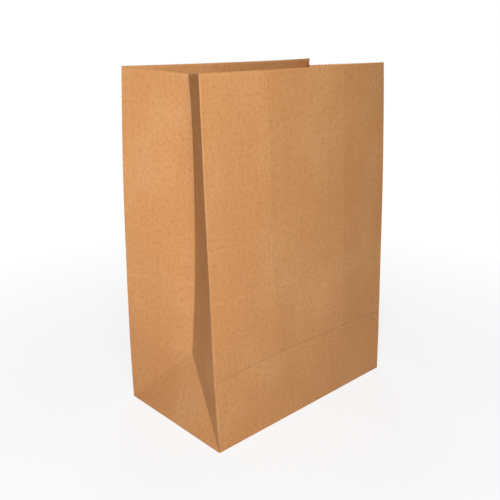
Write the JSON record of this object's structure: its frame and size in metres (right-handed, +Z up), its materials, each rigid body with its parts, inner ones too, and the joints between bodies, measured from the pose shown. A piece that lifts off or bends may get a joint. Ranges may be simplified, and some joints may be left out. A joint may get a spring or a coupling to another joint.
{
  "type": "brown paper bag",
  "caption": "Open flat-bottomed kraft paper bag with a gusset down each side, a pinked mouth and a folded, pasted bottom.",
  "frame": {"origin": "middle of the bag's bottom, on the face that it stands on", "axes": "+Z up towards the mouth, +X along the wide front panel towards its right edge, front panel facing -Y"},
  "size_m": [0.3184, 0.1784, 0.4317],
  "materials": {
    "kraft_paper": "matte brown kraft"
  },
  "bodies": {
    "root": {"paper_bag": "kraft_paper"}
  },
  "joints": []
}
